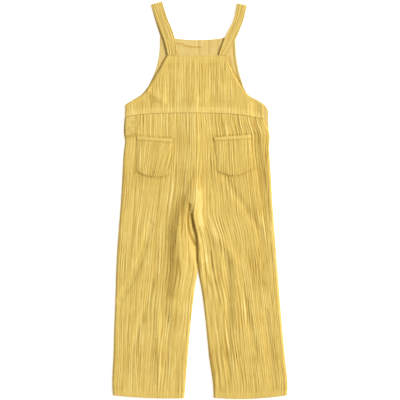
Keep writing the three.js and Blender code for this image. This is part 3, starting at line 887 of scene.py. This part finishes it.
def spline(points, count):
    """Catmull-Rom curve through rows of numbers."""
    rows = np.array(points, float)
    padded = np.concatenate([[2 * rows[0] - rows[1]], rows, [2 * rows[-1] - rows[-2]]])
    t = np.linspace(0, len(rows) - 1, count)
    i = np.minimum(t.astype(int), len(rows) - 2)
    f = (t - i)[:, None]
    a, b, c, d = padded[i], padded[i + 1], padded[i + 2], padded[i + 3]
    return 0.5 * (2 * b + (c - a) * f + (2 * a - 5 * b + 4 * c - d) * f ** 2
                  + (3 * b - a - 3 * c + d) * f ** 3)


def strap(side, seed):
    rising, falling = STRAPS[side]
    up = spline(rising, RISING_ROWS)
    down = spline(falling, FALLING_ROWS)
    rise = up[:, 4] + STRAP_WALL / 2
    fall = down[:, 4] + CLOTH - STRAP_WALL / 2
    low, high = rise[-1], fall[0]
    across = np.array([up[-1, 2] - up[-1, 0], up[-1, 3] - up[-1, 1]])
    out = np.array([-across[1], across[0]]) / np.hypot(*across)
    angle = np.linspace(0, math.pi, TURN_STEPS)[1:-1]
    share = (angle / math.pi)[:, None]
    radius = (high - low) / 2
    turn = up[-1] * (1 - share) + down[0] * share
    turn[:, 0:2] += np.sin(angle)[:, None] * radius * out
    turn[:, 2:4] += np.sin(angle)[:, None] * radius * out
    turn_z = (low + high) / 2 - np.cos(angle) * radius
    rows = np.concatenate([up, turn, down])
    z = np.concatenate([rise, turn_z, fall])
    normal_z = np.concatenate([-np.ones(len(up)), -np.cos(angle), np.ones(len(down))])
    normal_out = np.concatenate([np.zeros(len(up)), np.sin(angle), np.zeros(len(down))])
    u = spaced(STRAP_WIDTH, STRAP_WIDTH / STRAP_COLUMNS)
    left, right = rows[:, None, 0:2], rows[:, None, 2:4]
    plan = left + (right - left) * u[None, :, None]
    run = np.concatenate([[0], np.cumsum(np.hypot(*np.diff(rows[:, 0:2], axis=0).T))])
    uu, vv = np.meshgrid(u * STRAP_WIDTH, run)
    creases = crinkle(uu * 1.1, vv, seed, 4.6, 200, 0.3)
    side_gap = np.minimum(uu, STRAP_WIDTH - uu)
    half = STRAP_WALL / 2 + STRAP_CREASE * creases * smooth(side_gap / 2)
    half = half + groove(side_gap - STRAP_SEAM, 0.35, 0.6)
    end_gap = np.minimum(vv, run[-1] - vv)
    round_share = rim_share(np.minimum(side_gap, end_gap + 0.3))
    half = half * round_share
    flat_half = STRAP_WALL / 2 * round_share
    normal = np.stack([normal_out * out[0], normal_out * out[1], normal_z], -1)[:, None, :]
    centre = np.concatenate([plan, np.broadcast_to(z[:, None, None], plan.shape[:2] + (1,))], -1)
    over = centre + normal * half[..., None]
    under = centre - normal * flat_half[..., None]
    over[..., 2] = np.maximum(over[..., 2], 0)
    # The creases also give the colour its painted shade and highlight.
    piece = make_mesh(f"strap_{side}_cloth", over, under, creases * 0.8)
    normals = np.broadcast_to(normal, over.shape)
    columns = [int(np.argmin(np.abs(uu[0] - inset))) for inset in (STRAP_SEAM, STRAP_WIDTH - STRAP_SEAM)]
    shown = slice(len(up) + HIDDEN_ROWS, None)
    sewn = stitches(f"strap_{side}_stitches",
                    [(over[shown, column], normals[shown, column]) for column in columns])
    dress(piece, f"strap_{side}", FLAT)


strap("left", 81)
strap("right", 83)

# ---- Studio ----

centre = (Vector(CAD_BOX[0]) + Vector(CAD_BOX[1])) / 2
FRAME_WIDTH = 0.82
CAMERA_HEIGHT = 3.2
SENSOR = 36.0
FLOOR_REACH = 6.0
FLOOR_DROP = 0.0002  # keeps the floor clear of the cloth that lies on it
WORLD_COLOUR = (1, 0.95, 0.84, 1)
WORLD_STRENGTH = 0.31
LIGHTS = dict(
    key=dict(place=(4.6, 1.6, 3.0), size=2.2, power=506),
    fill=dict(place=(-1.6, -0.6, 2.4), size=2.4, power=20),
)


def studio_floor():
    mesh = bpy.data.meshes.new("floor")
    corners = [(-1, -1), (1, -1), (1, 1), (-1, 1)]
    points = [(x * FLOOR_REACH, y * FLOOR_REACH, -FLOOR_DROP) for x, y in corners]
    mesh.from_pydata(points, [], [(0, 1, 2, 3)])
    floor = add_object("floor", mesh)
    material = bpy.data.materials.new("pale_paper")
    material.use_nodes = True
    nodes, links = material.node_tree.nodes, material.node_tree.links
    shader = nodes["Principled BSDF"]
    grain = nodes.new("ShaderNodeTexNoise")
    grain.inputs["Scale"].default_value = 400
    ramp = nodes.new("ShaderNodeValToRGB")
    ramp.color_ramp.elements[0].color = (0.93, 0.93, 0.93, 1)
    ramp.color_ramp.elements[1].color = (0.97, 0.97, 0.97, 1)
    links.new(grain.outputs["Fac"], ramp.inputs["Fac"])
    links.new(ramp.outputs["Color"], shader.inputs["Base Color"])
    shader.inputs["Roughness"].default_value = 0.9
    shader.inputs["Emission Color"].default_value = (1, 1, 1, 1)
    shader.inputs["Emission Strength"].default_value = 0.5
    mesh.materials.append(material)


def area_light(name, place, size, power):
    data = bpy.data.lights.new(name, "AREA")
    data.size = size
    data.energy = power
    light = add_object(name, data)
    light.location = place
    light.rotation_euler = (Vector((0, 0, 0)) - Vector(place)).to_track_quat("-Z", "Y").to_euler()


def world_light():
    world = bpy.data.worlds.new("studio")
    world.use_nodes = True
    world.node_tree.nodes["Background"].inputs["Color"].default_value = WORLD_COLOUR
    world.node_tree.nodes["Background"].inputs["Strength"].default_value = WORLD_STRENGTH
    bpy.context.scene.world = world


def camera():
    data = bpy.data.cameras.new("camera")
    data.sensor_width = SENSOR
    data.lens = SENSOR * CAMERA_HEIGHT / FRAME_WIDTH
    cam = add_object("camera", data)
    cam.location = (centre.x, centre.y, CAMERA_HEIGHT)
    bpy.context.scene.camera = cam


studio_floor()
world_light()
for name, light in LIGHTS.items():
    area_light(name, **light)
camera()
bpy.context.scene.view_settings.view_transform = "Standard"
